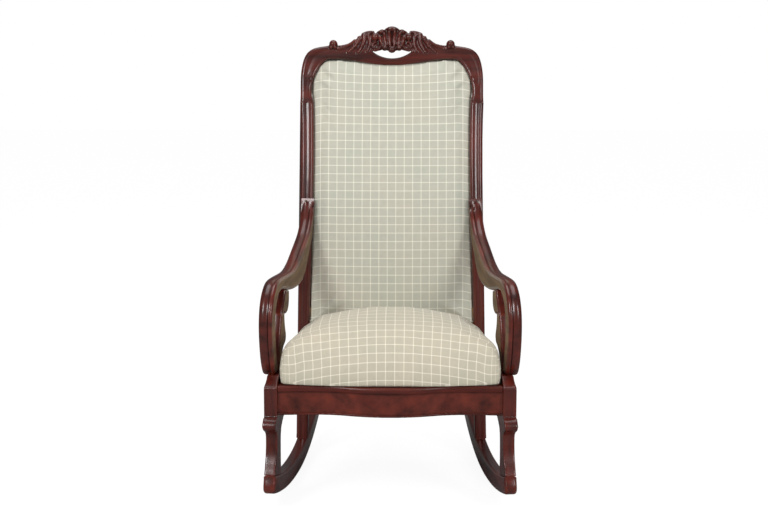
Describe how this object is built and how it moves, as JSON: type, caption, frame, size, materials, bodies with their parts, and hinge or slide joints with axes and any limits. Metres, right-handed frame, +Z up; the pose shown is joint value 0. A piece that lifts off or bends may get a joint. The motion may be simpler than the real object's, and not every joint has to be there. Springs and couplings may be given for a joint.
{
  "type": "rocking chair",
  "caption": "Upholstered open-arm rocking chair with a carved crest rail, C-scroll arms, a serpentine seat rail and curved runners.",
  "frame": {"origin": "on the floor, at the middle of the whole chair's outline in plan", "axes": "+Z up, the chair faces -Y, +X to the viewer's right in a front view"},
  "size_m": [0.6146, 0.8114, 1.108],
  "materials": {
    "mahogany": "semi-gloss",
    "figured_veneer": "semi-gloss",
    "secondary_wood": "matte",
    "checked_cloth": "matte",
    "stuffing": "matte",
    "burlap": "matte",
    "jute_webbing": "matte",
    "black_cambric": "matte",
    "spring_wire": "satin",
    "steel_fastenings": "satin"
  },
  "bodies": {
    "root": {"arm_dowels": "secondary_wood", "arm_left": "mahogany", "arm_right": "mahogany", "arm_screw_plugs": "mahogany", "arm_screws": "steel_fastenings", "arm_scroll_lower_left": "mahogany", "arm_scroll_lower_right": "mahogany", "arm_scroll_upper_left": "mahogany", "arm_scroll_upper_right": "mahogany", "arm_side_plug": "mahogany", "back_bottom_rail": "secondary_wood", "back_cover": "checked_cloth", "back_outer_cover": "checked_cloth", "back_padding": "stuffing", "back_webbing": "jute_webbing", "corner_block_front_left": "secondary_wood", "corner_block_front_right": "secondary_wood", "corner_block_rear_left": "secondary_wood", "corner_block_rear_right": "secondary_wood", "corner_block_screws": "steel_fastenings", "crest_dowels": "secondary_wood", "crest_rail": "mahogany", "dust_cover": "black_cambric", "dust_cover_tacks": "steel_fastenings", "front_leg_left": "mahogany", "front_leg_right": "mahogany", "front_rail": "mahogany", "front_rail_bead": "mahogany", "front_rail_moulding": "mahogany", "front_rail_veneer": "figured_veneer", "leg_dowels": "secondary_wood", "rail_dowels": "secondary_wood", "rear_rail": "secondary_wood", "rear_stile_left": "mahogany", "rear_stile_right": "mahogany", "rocker_left": "mahogany", "rocker_right": "mahogany", "seat_burlap": "burlap", "seat_cover": "checked_cloth", "seat_padding": "stuffing", "seat_springs": "spring_wire", "seat_webbing": "jute_webbing", "side_rail_left": "mahogany", "side_rail_right": "mahogany"}
  },
  "joints": []
}
